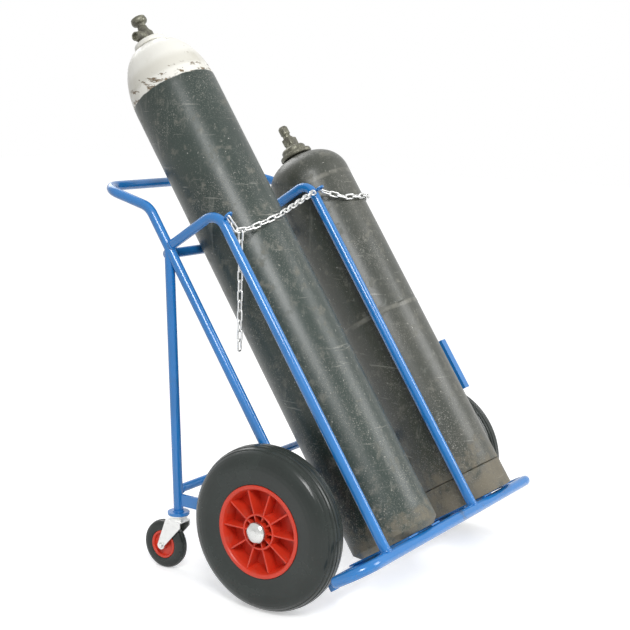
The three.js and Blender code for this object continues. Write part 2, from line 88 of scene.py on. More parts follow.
RAIL_X = 338
RAIL_FOOT_V = 56
RAIL_BEND_V = 1092.6
HANDLE_BEND = math.radians(41.6)
HANDLE_ARM = 160
HOOP_U = 180
LEFT_HOOP_V = 979
MID_HOOP_X = 96
MID_HOOP_V = 1034
TOE_V = 72
TOE_HALF = 445
TOE_RADIUS = 14
CROSS_U = -25.3
UPPER_CROSS_V = 972
LOWER_CROSS_V = 330
BASE_CROSS_V = 73.5
LEG_TOP_V = 976
LEG_IN_FLANGE = 2
LEG_CROSS_RADIUS = 11
UPPER_CROSS_HALF = 325
LOWER_CROSS_HALF = 346
HOOP_START_U = 4
HOOP_FOOT_V = TOE_V + 8
MID_HOOP_START_V = UPPER_CROSS_V + 6
TOE_HOOK_BACK = 95
TOE_HOOK_RISE = 4
TOE_END_ROUND = 0.75
TUBE_END_EASE = 0.08
TUBE_BENDS = {"back_frame": 55, "left_hoop": 42, "mid_hoop": 37, "toe_bar": 55}
TUBE_BEND_STEPS = 14
TALL = {"x": -164, "u": 101, "r": 113, "base": 90.8, "shoulder": 1345, "neck": 1508}
SHORT = {"x": 233, "u": 103, "r": 115, "base": 90.8, "shoulder": 1068, "neck": 1160, "seam": 164}
NECK_R = 32
NECK_LENGTH = 8
BOTTLE_STEPS = 120
SHOULDER_TURN = math.radians(84)
FOOT_RING_STEP = 4.4
OUTLET_V = 1530
VALVE_BLOCK = (40, 26, 22)
VALVE_BLOCK_PLACE = (4, 0, 1202)

# Weld beads: how far a ring stands off a joint, how much wider it is than the tube, and its ripple
BEAD_LIFT = 0.6
BEAD_SPREAD = 0.4
LEG_BEAD_SPREAD = 0.2
RIPPLE_RATES = (1900, 2100, 1700)
RIPPLE_DEPTH = 0.6

# Wheels and castors
AXLE_RADIUS = 10
AXLE_BORE = 10.5
WHEEL_RIBS = 10
RIB_SIZE = (78, 4.2, 78)
RIB_MIDDLE = 61
CAP_FACE = 46
NUT_FLATS = 12
NUT_HEIGHTS = (21.9, 26.4)
NUT_EDGE = 1.2

# Chain: the tail's first link goes round the lower wire of the left run's third link, on the hinge line
LINK = {"turn": 6, "half": 14.5, "pitch": 24.4, "stand_off": 10}
LINK_SIDES = 10
LINK_TURN_STEPS = 8
EYE = {"ring": 9, "wire": 3}
EYE_GAP = 6
EYE_CLEAR = EYE["ring"] + EYE["wire"] + EYE_GAP
EYE_TILTS = {"left": -math.pi / 12, "middle": -math.pi / 36, "right": 0}
RIGHT_EYE_U = 34
RIGHT_EYE_V = 985
HOOK_U = 196
HOOK_V = 998
LEFT_HANG = (-342.8, 202.62, 954.31)
TAIL_LINK_START = (-309.94, 185.61, 919.76)
LEFT_SAG = ((0.06, 916.3), (0.13, 917.8), (0.24, 922.8), (0.36, 929.8))
RIGHT_SAG = ((0.08, 980), (0.163, 964), (0.31, 956), (0.48, 962))
CHAIN_DROP = (-297, 183, 912)
TAIL_LINKS = 12
TAIL_RISE = 6.7

# Limits of the shape functions
LEAST_TURN = 0.15
MOST_CUT = 0.42
CORNER_STEPS = 3
SAME_PLACE = 1e-6
NEARLY = 1e-6
STRAIGHT = 1e-4
WELD_REACH = 0.00002
KEPT_CREASE = math.radians(35)

# Wear, dust and polish of the finishes
LIGHT_WEAR = 0.1
HEAVY_WEAR = 0.9
CAP_POLISH = 0.03
TALL_DUST_V = 60
TALL_WHITE_V = 1358
SHORT_DUST_V = 120
SHORT_SEAMS = (640, 1046)
SHORT_WARM = (0.082, 0.08, 0.064)
SCUFFED_FOOT = (0, 420)
RUSTY_FOOT = (0, 260)
SEAM_FADE = (3, 9)
WHITE_EDGE = (0, 3)
CHIPPED_EDGE = (12, 70)
WORN_FROM = (22, 34)
WORN_TO = (52, 78)
RUB_GREY = (0.19, 0.197, 0.172)
SCORE_GREY = (0.34, 0.34, 0.3)
SCUFF_GREY = (0.2, 0.195, 0.165)
DOT_GREY = (0.36, 0.35, 0.31)
FLECK_GREY = (0.46, 0.45, 0.4)
SEAM_GREY = (0.24, 0.235, 0.2)
RUST_BROWN = (0.19, 0.163, 0.115)
STAIN_CREAM = (0.5, 0.475, 0.39)
DARK_CHIP = (0.07, 0.06, 0.045)
RUSTY_CHIP = (0.3, 0.22, 0.13)


class CartSizes(bpy.types.PropertyGroup):
    """Sizes of the drawn pieces that a user may change."""

    tube_radius: FloatProperty(
        name="Tube radius", description="Outer radius of the frame tubes",
        default=12.5 * MM, unit="LENGTH",
    )
    tube_sides: IntProperty(name="Tube sides", description="Sides of a drawn tube", default=28, min=8)
    wheel_steps: IntProperty(name="Wheel steps", description="Steps round a wheel", default=96, min=16)
    link_wire: FloatProperty(
        name="Link wire", description="Radius of the chain's wire",
        default=2.3 * MM, unit="LENGTH",
    )
    weld_bead: FloatProperty(
        name="Weld bead", description="Radius of a weld bead",
        default=2.0 * MM, unit="LENGTH",
    )


class CartColours(bpy.types.PropertyGroup):
    """Colours of the cart's finishes."""

    blue: FloatVectorProperty(
        name="Frame blue", description="Gloss paint of the frame",
        subtype="COLOR", default=(0.014, 0.195, 0.55),
    )
    red: FloatVectorProperty(
        name="Wheel red", description="Moulded wheel centres",
        subtype="COLOR", default=(0.66, 0.042, 0.016),
    )
    rubber: FloatVectorProperty(
        name="Tyre rubber", description="Tyre rubber",
        subtype="COLOR", default=(0.021, 0.027, 0.024),
    )
    cylinder: FloatVectorProperty(
        name="Cylinder paint", description="Dark cylinder paint",
        subtype="COLOR", default=(0.034, 0.051, 0.043),
    )
    shoulder: FloatVectorProperty(
        name="Shoulder white", description="Tall cylinder's shoulder",
        subtype="COLOR", default=(0.84, 0.83, 0.77),
    )
    zinc: FloatVectorProperty(
        name="Zinc", description="Plated steel",
        subtype="COLOR", default=(0.78, 0.785, 0.77),
    )
    bronze: FloatVectorProperty(
        name="Valve bronze", description="Aged valve metal",
        subtype="COLOR", default=(0.15, 0.147, 0.112),
    )


class Value:
    """A shader socket that takes part in Python arithmetic."""

    def __init__(self, finish, socket):
        self.finish = finish
        self.socket = socket

    def _math(self, operation, a, b):
        return self.finish.node("ShaderNodeMath", {"operation": operation}, {0: a, 1: b})

    def __add__(self, other):
        return self._math("ADD", self, other)

    __radd__ = __add__

    def __sub__(self, other):
        return self._math("SUBTRACT", self, other)

    def __rsub__(self, other):
        return self._math("SUBTRACT", other, self)

    def __mul__(self, other):
        return self._math("MULTIPLY", self, other)

    __rmul__ = __mul__


class Finish:
    """One material: its node tree, and the few ways its nodes are added."""

    def __init__(self, name):
        self.material = bpy.data.materials.new(name)
        self.material.use_nodes = True
        self.tree = self.material.node_tree
        self.shader = self.tree.nodes["Principled BSDF"]

    def set_socket(self, socket, value):
        if isinstance(value, Value):
            self.tree.links.new(value.socket, socket)
        else:
            socket.default_value = value

    def node(self, kind, settings=None, inputs=None, output=0):
        made = self.tree.nodes.new(kind)
        for key, value in (settings or {}).items():
            setattr(made, key, value)
        for key, value in (inputs or {}).items():
            self.set_socket(made.inputs[key], value)
        return Value(self, made.outputs[output])

    def coords(self, turn=0.0, stretch=(1, 1, 1)):
        place = self.node("ShaderNodeTexCoord", output="Object")
        sockets = {"Vector": place, "Rotation": (turn, 0, 0), "Scale": stretch}
        return self.node("ShaderNodeMapping", None, sockets)

    def noise(self, scale, detail=4.0, where=None, rough=0.55):
        sockets = {"Vector": where or self.coords(), "Scale": scale}
        sockets |= {"Detail": detail, "Roughness": rough}
        return self.node("ShaderNodeTexNoise", None, sockets)

    def step(self, value, low, high):
        sockets = {"Value": value, "From Min": low, "From Max": high}
        return self.node("ShaderNodeMapRange", {"interpolation_type": "SMOOTHSTEP"}, sockets)

    def along(self, direction):
        place = self.node("ShaderNodeTexCoord", output="Object")
        sockets = {0: place, 1: direction}
        return self.node("ShaderNodeVectorMath", {"operation": "DOT_PRODUCT"}, sockets, "Value")

    def mix(self, share, first, second):
        sockets = {"Factor": share}
        for key, colour in ((6, first), (7, second)):
            sockets[key] = (*colour, 1.0) if isinstance(colour, tuple) else colour
        return self.node("ShaderNodeMix", {"data_type": "RGBA"}, sockets, 2)

    def bump(self, height, strength, distance):
        sockets = {"Height": height, "Strength": strength, "Distance": distance}
        return self.node("ShaderNodeBump", None, sockets)

    def shade(self, **sockets):
        for name, value in sockets.items():
            self.set_socket(self.shader.inputs[name.replace("_", " ")], value)
        return self.material


def tint(colour, factor):
    return tuple(min(1.0, c * factor) for c in colour)


def blue_paint(name, colour, wear):
    """Gloss enamel with a faint orange peel, dulled and chipped where it is handled."""
    coat = Finish(name)
    cloud = coat.noise(9, 3)
    shade = coat.mix(cloud, tint(colour, 0.82), tint(colour, 1.14))
    grime = coat.step(coat.noise(26, 6), 0.6, 0.8) * (0.25 + wear * 0.5)
    dirty = coat.mix(grime, shade, (0.07, 0.075, 0.07))
    chips = coat.step(coat.noise(85, 5, None, 0.7), 0.74 - 0.07 * wear, 0.765 - 0.07 * wear)
    worn = coat.mix(chips, dirty, (0.16, 0.12, 0.09))
    rough = 0.16 + cloud * 0.1 + chips * 0.4 + grime * 0.3
    peel = coat.bump(coat.noise(420, 2) * 0.5 - chips * 2.0, 0.12, 0.0006)
    return coat.shade(
        Base_Color=worn, Roughness=rough, Normal=peel, Specular_IOR_Level=0.5,
        Coat_Weight=0.4, Coat_Roughness=0.08,
    )


def wheel_red(colour):
    """Moulded plastic with a fine grain and patches of road dust."""
    coat = Finish("wheel_red")
    cloud = coat.noise(14, 4)
    shade = coat.mix(cloud, tint(colour, 0.8), tint(colour, 1.15))
    dust = coat.step(coat.noise(38, 6), 0.52, 0.78)
    grain = coat.bump(coat.noise(900, 2), 0.1, 0.0004)
    dusty = coat.mix(dust * 0.22, shade, (0.34, 0.2, 0.16))
    return coat.shade(Base_Color=dusty, Roughness=0.36 + dust * 0.2, Normal=grain)


def tyre_rubber(colour):
    """Grey-green rubber, dusted unevenly and finely pitted."""
    coat = Finish("dusty_rubber")
    dust = coat.step(coat.noise(11, 7), 0.42, 0.75)
    specks = coat.step(coat.noise(150, 4), 0.62, 0.72)
    shade = coat.mix(dust * 0.4, colour, tint(colour, 2.0))
    dusty = coat.mix(specks * 0.12, shade, (0.11, 0.11, 0.1))
    pits = coat.bump(coat.noise(650, 3), 0.12, 0.0004)
    return coat.shade(Base_Color=dusty, Roughness=0.2 + dust * 0.16, Normal=pits, Specular_IOR_Level=0.34)


def zinc_plate(colour, name="zinc_plate", polish=0.24):
    """Bright zinc with a patchy passivated bloom."""
    coat = Finish(name)
    bloom = coat.noise(55, 5)
    spots = coat.step(coat.noise(190, 4), 0.6, 0.72)
    shade = coat.mix(bloom, tint(colour, 0.78), tint(colour, 1.12))
    stained = coat.mix(spots * 0.35, shade, (0.3, 0.27, 0.22))
    return coat.shade(
        Base_Color=stained,
        Metallic=0.92 - spots * 0.2,
        Roughness=polish + bloom * 0.2,
        Normal=coat.bump(bloom, 0.08, 0.0005),
    )


def valve_bronze(colour):
    """Bronze gone dark, rubbed brighter in patches, with dried dirt."""
    coat = Finish("valve_bronze")
    patch = coat.noise(48, 6)
    rubbed = coat.step(coat.noise(95, 5), 0.5, 0.72)
    shade = coat.mix(rubbed * 0.7, colour, tint(colour, 2.6))
    dirt = coat.step(patch, 0.5, 0.66)
    return coat.shade(
        Base_Color=coat.mix(dirt * 0.65, shade, (0.07, 0.065, 0.055)),
        Metallic=0.5 - dirt * 0.35,
        Roughness=0.38 + dirt * 0.3,
        Normal=coat.bump(coat.noise(260, 5), 0.35, 0.0008),
    )


def cylinder_paint(name, colour, warm, foot_v, white=None, white_v=None, seams=()):
    """Old dark paint: long rub marks, scuffs, pale dust, rust near the foot and a painted shoulder."""
    coat = Finish(name)
    origin = LEANING.translation.dot(UP_RAILS)
    height = coat.along(tuple(UP_RAILS)) - origin

    def above(start, fade, level=height):
        return coat.step(level, (start + fade[0]) * MM, (start + fade[1]) * MM)

    lengthwise = coat.coords(LEAN, (60, 60, 2.2))
    rubs = coat.step(coat.noise(1.0, 6, lengthwise, 0.65), 0.56, 0.74)
    cross = coat.step(coat.noise(1.0, 5, coat.coords(LEAN - 0.5, (7, 7, 120)), 0.7), 0.62, 0.68)
    cloud = coat.noise(5.5, 5)
    scuffs = coat.step(coat.noise(26, 9, None, 0.72), 0.53, 0.68)
    flecks = coat.step(coat.noise(120, 5, None, 0.7), 0.645, 0.68)
    patchy = coat.step(coat.noise(7, 3), 0.42, 0.68)
    near_foot = 1 - above(foot_v, SCUFFED_FOOT)
    dots = coat.step(coat.noise(330, 3, None, 0.6), 0.57, 0.64) * (0.2 + patchy * 0.8 + near_foot * 0.6)
    base = coat.mix(cloud, tint(colour, 0.62), tint(warm, 1.15))
    rubbed = coat.mix(rubs * 0.6, base, RUB_GREY)
    scored = coat.mix(cross * 0.5, rubbed, SCORE_GREY)
    scuffed = coat.mix(scuffs * 0.62, scored, SCUFF_GREY)
    dotted = coat.mix(dots * 0.6, scuffed, DOT_GREY)
    flecked = coat.mix(flecks * 0.8, dotted, FLECK_GREY)
    for seam_v in seams:
        off = coat.node("ShaderNodeMath", {"operation": "ABSOLUTE"}, {0: height - seam_v * MM})
        rubbed_line = (1 - above(0, SEAM_FADE, off)) * coat.step(coat.noise(30, 6), 0.3, 0.62)
        flecked = coat.mix(rubbed_line * 0.6, flecked, SEAM_GREY)
    low = 1 - above(foot_v, RUSTY_FOOT)
    rust = coat.step(coat.noise(30, 8, None, 0.75) * 0.9 + low * 0.4, 0.68, 0.9)
    shade = coat.mix(rust * 0.7, flecked, RUST_BROWN)
    rough = 0.34 + scuffs * 0.3 + rust * 0.25 + dots * 0.2
    relief = coat.noise(75, 6) * 0.6 - flecks * 1.1 - rust * 0.8
    if white:
        edge = height + (coat.noise(38, 5) - 0.5) * 0.006
        painted = above(white_v, WHITE_EDGE, edge)
        near = 1 - above(white_v, CHIPPED_EDGE)
        around = coat.coords(LEAN, (28, 28, 75))
        chipped = coat.step(coat.noise(1.0, 7, around, 0.7) + near * 0.13, 0.655, 0.7)
        stains = coat.step(coat.noise(17, 6), 0.5, 0.78)
        worn_band = above(white_v, WORN_FROM) * (1 - above(white_v, WORN_TO))
        pale = coat.mix(stains * 0.3 + worn_band * 0.4, white, STAIN_CREAM)
        chips = coat.mix(coat.noise(90, 4), DARK_CHIP, RUSTY_CHIP)
        shade = coat.mix(painted, shade, coat.mix(chipped, pale, chips))
        relief = relief + painted * (1 - chipped) * 1.2
    return coat.shade(
        Base_Color=shade, Roughness=rough, Normal=coat.bump(relief, 0.3, 0.0012), Specular_IOR_Level=0.45
    )


def finishes():
    """The cart's finishes, made once and shared by the pieces."""
    colours = bpy.context.scene.cart_colours
    blue, red, rubber, zinc, bronze, dark, white = (
        tuple(getattr(colours, key))
        for key in ("blue", "red", "rubber", "zinc", "bronze", "cylinder", "shoulder")
    )
    makers = {
        "frame_gloss": lambda: blue_paint("frame_gloss", blue, LIGHT_WEAR),
        "frame_gloss_worn": lambda: blue_paint("frame_gloss_worn", blue, HEAVY_WEAR),
        "wheel_red": lambda: wheel_red(red),
        "dusty_rubber": lambda: tyre_rubber(rubber),
        "zinc_plate": lambda: zinc_plate(zinc),
        "cap_chrome": lambda: zinc_plate(tint(zinc, 0.8), "cap_chrome", CAP_POLISH),
        "valve_bronze": lambda: valve_bronze(bronze),
        "tall_cylinder_paint": lambda: cylinder_paint(
            "tall_cylinder_paint", dark, dark, TALL_DUST_V, white, TALL_WHITE_V
        ),
        "short_cylinder_paint": lambda: cylinder_paint(
            "short_cylinder_paint", dark, SHORT_WARM, SHORT_DUST_V, seams=SHORT_SEAMS
        ),
    }
    return {name: bpy.data.materials.get(name) or make() for name, make in makers.items()}


# Shapes
def rounded(outline, corner, closed):
    """The [radius, height] outline with each corner replaced by an arc as large as fits."""
    points = [Vector(p) for p in outline]
    count = len(points)
    line = []
    for i, p in enumerate(points):
        into = p - points[i - 1]
        away = points[(i + 1) % count] - p
        is_end = not closed and i in (0, count - 1)
        if corner <= 0 or is_end or into.angle(away) < LEAST_TURN:
            line.append(p)
            continue
        wanted = corner * math.tan(into.angle(away) / 2)
        cut = min(wanted, into.length * MOST_CUT, away.length * MOST_CUT)
        first = p - into.normalized() * cut
        last = p + away.normalized() * cut
        for k in range(CORNER_STEPS + 1):
            t = k / CORNER_STEPS
            line.append(first * (1 - t) ** 2 + p * 2 * t * (1 - t) + last * t * t)
    return line


def edges_of(geometry):
    return [g for g in geometry if isinstance(g, bmesh.types.BMEdge)]


def ends_of(edges):
    return list({v for e in edges for v in e.verts})


def spun(bm, verts, edges, middle, axis, angle, steps, closed=False):
    """Spins a line or a loop about an axis and gives the edges that it ends on."""
    made = bmesh.ops.spin(
        bm, geom=verts + edges, cent=middle, axis=axis, dvec=(0, 0, 0), angle=angle, steps=steps,
        use_merge=closed, use_duplicate=False,
    )
    return edges_of(made["geom_last"])


def eased(bm, edges, width, segments=2):
    """Rounds the given edges."""
    bmesh.ops.bevel(
        bm, geom=edges, offset=width, offset_type="OFFSET", segments=segments, profile=0.5,
        affect="EDGES", material=-1,
    )


def settled(bm):
    """Joins doubled corners and turns every face outward."""
    bmesh.ops.remove_doubles(bm, verts=bm.verts[:], dist=SAME_PLACE)
    bmesh.ops.recalc_face_normals(bm, faces=bm.faces[:])


def turned(outline, place, steps, corner, closed=False):
    """A piece turned about Z from its outline in millimetres, then put in place."""
    bm = bmesh.new()
    verts = [bm.verts.new((p.x * MM, 0, p.y * MM)) for p in rounded(outline, corner, closed)]
    following = verts[1:] + verts[:1] if closed else verts[1:]
    edges = [bm.edges.new(pair) for pair in zip(verts, following)]
    spun(bm, verts, edges, (0, 0, 0), (0, 0, 1), 2 * math.pi, steps, True)
    settled(bm)
    bmesh.ops.transform(bm, matrix=place, verts=bm.verts[:])
    return bm


def wire_end(bm, radius, sides, place):
    """The round loop of edges that a tube or a wire starts from."""
    verts = bmesh.ops.create_circle(bm, segments=sides, radius=radius, matrix=place)["verts"]
    return list({e for v in verts for e in v.link_edges})


def push(bm, loop, travel):
    """Extrudes an edge loop by a vector and gives the new loop."""
    made = bmesh.ops.extrude_edge_only(bm, edges=loop)["geom"]
    fresh = {g for g in made if isinstance(g, bmesh.types.BMVert)}
    bmesh.ops.translate(bm, vec=travel, verts=list(fresh))
    return [e for e in edges_of(made) if set(e.verts) <= fresh]


def bent_tube(corners, radius, sides, bend=0.0, cap=0.0):
    """A round tube bent like the real one: straight runs pushed out, and bends spun round their centres."""
    bm = bmesh.new()
    heading = (corners[1] - corners[0]).normalized()
    facing = heading.to_track_quat("Z", "Y").to_matrix().to_4x4()
    first = wire_end(bm, radius, sides, Matrix.Translation(corners[0]) @ facing)
    loop = first
    here = corners[0]
    for i, corner in enumerate(corners[1:], 1):
        heading = (corner - here).normalized()
        away = (corners[i + 1] - corner).normalized() if i + 1 < len(corners) else heading
        turn = heading.angle(away)
        cut = bend * math.tan(turn / 2)
        loop = push(bm, loop, corner - heading * cut - here)
        here = corner - heading * cut
        if turn > STRAIGHT:
            axis = heading.cross(away).normalized()
            middle = here + axis.cross(heading) * bend
            loop = spun(bm, ends_of(loop), loop, middle, axis, turn, TUBE_BEND_STEPS)
            here = corner + away * cut
    lids = []
    for rim in (first, loop):
        lids += bmesh.ops.edgeloop_fill(bm, edges=rim)["faces"]
    eased(bm, list({e for f in lids for e in f.edges}), cap or radius * TUBE_END_EASE, 4)
    bmesh.ops.recalc_face_normals(bm, faces=bm.faces[:])
    return bm


def bar(size, place, edge):
    """A flat bar with eased edges; sizes in millimetres."""
    bm = bmesh.new()
    bmesh.ops.create_cube(bm, size=MM, matrix=Matrix.Diagonal((*size, 1)))
    eased(bm, bm.edges[:], edge * MM)
    bmesh.ops.transform(bm, matrix=place, verts=bm.verts[:])
    return bm


def nut(flats, low, high, place):
    """A hexagon about Z, so wide across its flats, between two heights in millimetres."""
    bm = bmesh.new()
    radius = flats / math.sqrt(3) * MM
    middle = Matrix.Translation((0, 0, (low + high) / 2 * MM))
    depth = (high - low) * MM
    bmesh.ops.create_cone(
        bm, cap_ends=True, segments=6, radius1=radius, radius2=radius, depth=depth, matrix=middle
    )
    eased(bm, bm.edges[:], NUT_EDGE * MM)
    bmesh.ops.transform(bm, matrix=place, verts=bm.verts[:])
    return bm


def ring(radius, wire, place, steps=32, sides=12):
    """A closed wire ring about Z, sizes in millimetres."""
    turns = [2 * math.pi * i / sides for i in range(sides)]
    outline = [(radius + wire * math.cos(a), wire * math.sin(a)) for a in turns]
    return turned(outline, place, steps=steps, corner=0, closed=True)


def joined(parts):
    """Several shapes as one."""
    whole = bmesh.new()
    for part in parts:
        scratch = bpy.data.meshes.new("scratch")
        part.to_mesh(scratch)
        part.free()
        whole.from_mesh(scratch)
        bpy.data.meshes.remove(scratch)
    return whole


def piece(bm, name, finish, nodes=(), body=None, crease=38):
    """Makes the shape an object that rides on its body and stands for its CAD nodes."""
    mesh = bpy.data.meshes.new(name)
    bm.to_mesh(mesh)
    bm.free()
    mesh.polygons.foreach_set("use_smooth", [True] * len(mesh.polygons))
    mesh.set_sharp_from_angle(angle=math.radians(crease))
    mesh.materials.append(finishes()[finish])
    obj = bpy.data.objects.new(name, mesh)
    bpy.context.scene.collection.objects.link(obj)
    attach(obj, body or BODY_OF[nodes[0]])
    if nodes:
        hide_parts(*nodes)


def stand_in(node, ending, finish, bm):
    """A finer piece in place of one CAD node, named after it."""
    piece(bm, f"{node}_{ending}", finish, [node])


def dress(node, finish, edge=0.8):
    """Keeps a CAD piece, with eased edges and its finish."""
    obj = frame["nodes"][node]
    obj.data.materials.clear()
    obj.data.materials.append(finishes()[finish])
    weld = obj.modifiers.new("weld_corners", "WELD")
    weld.merge_threshold = WELD_REACH
    bevel = obj.modifiers.new("eased_edges", "BEVEL")
    bevel.width = edge * MM
    bevel.segments = 2
    bevel.limit_method = "ANGLE"
    bevel.angle_limit = KEPT_CREASE


def across(side, place):
    """Turns a shape's Z outward along the axle on that side."""
    return Matrix.Translation(place) @ Matrix.Rotation(side * math.pi / 2, 4, "Y")


def mirrored(path):
    """A path on the left, carried on to its mirror image on the right."""
    return path + [(-x, u, v) for x, u, v in reversed(path)]


def crossing(half, u, v):
    """A straight path across the cart."""
    return [(-half, u, v), (half, u, v)]


class CART_OT_frame_tubes(bpy.types.Operator):
    """Make the bent and straight tubes of the frame"""

    bl_idname = "cart.frame_tubes"
    bl_label = "Frame tubes"

    def execute(self, context):
        sizes = context.scene.cart_sizes
        radius, sides = sizes.tube_radius, sizes.tube_sides
        push_bar_u = -HANDLE_ARM * math.sin(HANDLE_BEND)
        push_bar_v = RAIL_BEND_V + HANDLE_ARM * math.cos(HANDLE_BEND)
        paths = {
            "back_frame": mirrored(
                [(-RAIL_X, 0, RAIL_FOOT_V), (-RAIL_X, 0, RAIL_BEND_V), (-RAIL_X, push_bar_u, push_bar_v)]
            ),
            "left_hoop": [
                (-RAIL_X, HOOP_START_U, LEFT_HOOP_V),
                (-RAIL_X, HOOP_U, LEFT_HOOP_V),
                (-RAIL_X, HOOP_U, HOOP_FOOT_V),
            ],
            "mid_hoop": [
                (MID_HOOP_X, CROSS_U, MID_HOOP_START_V),
                (MID_HOOP_X, CROSS_U, MID_HOOP_V),
                (MID_HOOP_X, HOOP_U, MID_HOOP_V),
                (MID_HOOP_X, HOOP_U, HOOP_FOOT_V),
            ],
            "toe_bar": mirrored(
                [(-TOE_HALF, HOOP_U - TOE_HOOK_BACK, TOE_V + TOE_HOOK_RISE), (-TOE_HALF, HOOP_U, TOE_V)]
            ),
            "upper_cross_tube": crossing(UPPER_CROSS_HALF, CROSS_U, UPPER_CROSS_V),
            "lower_cross_tube": crossing(LOWER_CROSS_HALF, CROSS_U, LOWER_CROSS_V),
            "base_cross_tube": crossing(RAIL_X, 0, BASE_CROSS_V),
        }
        for node, path in paths.items():
            corners = [on_frame(*corner) for corner in path]
            bend = TUBE_BENDS.get(node, 0) * MM
            if node == "toe_bar":
                thick = TOE_RADIUS * MM
                tube = bent_tube(corners, thick, sides, bend, thick * TOE_END_ROUND)
                stand_in(node, "bent", "frame_gloss_worn", tube)
            else:
                tube = bent_tube(corners, radius, sides, bend)
                stand_in(node, "bent", "frame_gloss", tube)
        for side, sign in SIDES:
            top = on_frame(sign * RAIL_X, 0, LEG_TOP_V)
            flange = centre(f"castor_flange_{side}")
            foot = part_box(f"castor_flange_{side}")[1].z - LEG_IN_FLANGE * MM
            leg = bent_tube([Vector((flange.x, flange.y, foot)), top], radius, sides)
            stand_in(f"rear_leg_{side}", "bent", "frame_gloss", leg)
        y, z = centre("leg_cross_tube").yz
        ends = [Vector((sign * RAIL_X * MM, y, z)) for _, sign in SIDES]
        tube = bent_tube(ends, LEG_CROSS_RADIUS * MM, sides)
        piece(tube, "leg_cross_bent", "frame_gloss", ["leg_cross_tube"])
        return {"FINISHED"}


class CART_OT_weld_beads(bpy.types.Operator):
    """Make the weld beads where the tubes meet"""

    bl_idname = "cart.weld_beads"
    bl_label = "Weld beads"

    def execute(self, context):
        sizes = context.scene.cart_sizes
        wire = sizes.weld_bead / MM
        r = sizes.tube_radius / MM
        clear = r + BEAD_LIFT
        upright = Matrix()
        ahead = Matrix.Rotation(math.pi / 2, 4, "X")
        sideways = Matrix.Rotation(math.pi / 2, 4, "Y")
        places = [
            ((-RAIL_X, clear, LEFT_HOOP_V), ahead),
            ((MID_HOOP_X, CROSS_U, UPPER_CROSS_V + clear), upright),
            ((-RAIL_X, HOOP_U, TOE_V + TOE_RADIUS - BEAD_SPREAD), upright),
            ((MID_HOOP_X, HOOP_U, TOE_V + TOE_RADIUS - BEAD_SPREAD), upright),
            ((clear - RAIL_X, 0, BASE_CROSS_V), sideways),
            ((RAIL_X - clear, 0, BASE_CROSS_V), sideways),
        ]
        lean = LEANING.to_3x3().to_4x4()
        beads = []
        for place, turn in places:
            beads.append(ring(r + BEAD_SPREAD, wire, Matrix.Translation(on_frame(*place)) @ lean @ turn))
        y, z = centre("leg_cross_tube").yz
        for side, sign in SIDES:
            flange = centre(f"castor_flange_{side}")
            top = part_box(f"castor_flange_{side}")[1].z + BEAD_LIFT * MM
            foot = Matrix.Translation((flange.x, flange.y + BEAD_SPREAD * MM, top))
            beads.append(ring(clear, wire, foot))
            joint = Matrix.Translation((sign * (RAIL_X - r) * MM, y, z))
            beads.append(ring(LEG_CROSS_RADIUS + LEG_BEAD_SPREAD, wire, joint @ sideways))
        bm = joined(beads)
        for v in bm.verts:
            ripple = math.prod(math.sin(c * rate) for c, rate in zip(v.co, RIPPLE_RATES))
            v.co += v.normal * ripple * RIPPLE_DEPTH * MM
        piece(bm, "weld_beads", "frame_gloss", body="frame", crease=80)
        return {"FINISHED"}


class CART_OT_flat_bars(bpy.types.Operator):
    """Finish the base straps, wheel guard, axle brackets and leg braces"""

    bl_idname = "cart.flat_bars"
    bl_label = "Flat bars"

    def execute(self, context):
        for side, _ in SIDES:
            for name in ("tall_base_strap", "short_base_strap"):
                dress(f"{name}_{side}", "frame_gloss_worn")
            for name in ("axle_bracket", "leg_brace"):
                dress(f"{name}_{side}", "frame_gloss")
        dress("wheel_guard", "frame_gloss", 0.6)
        return {"FINISHED"}


def both_faces(half):
    """An outline of [radius, height] points and its mirror image below."""
    return [(r, -h) for r, h in reversed(half)] + half


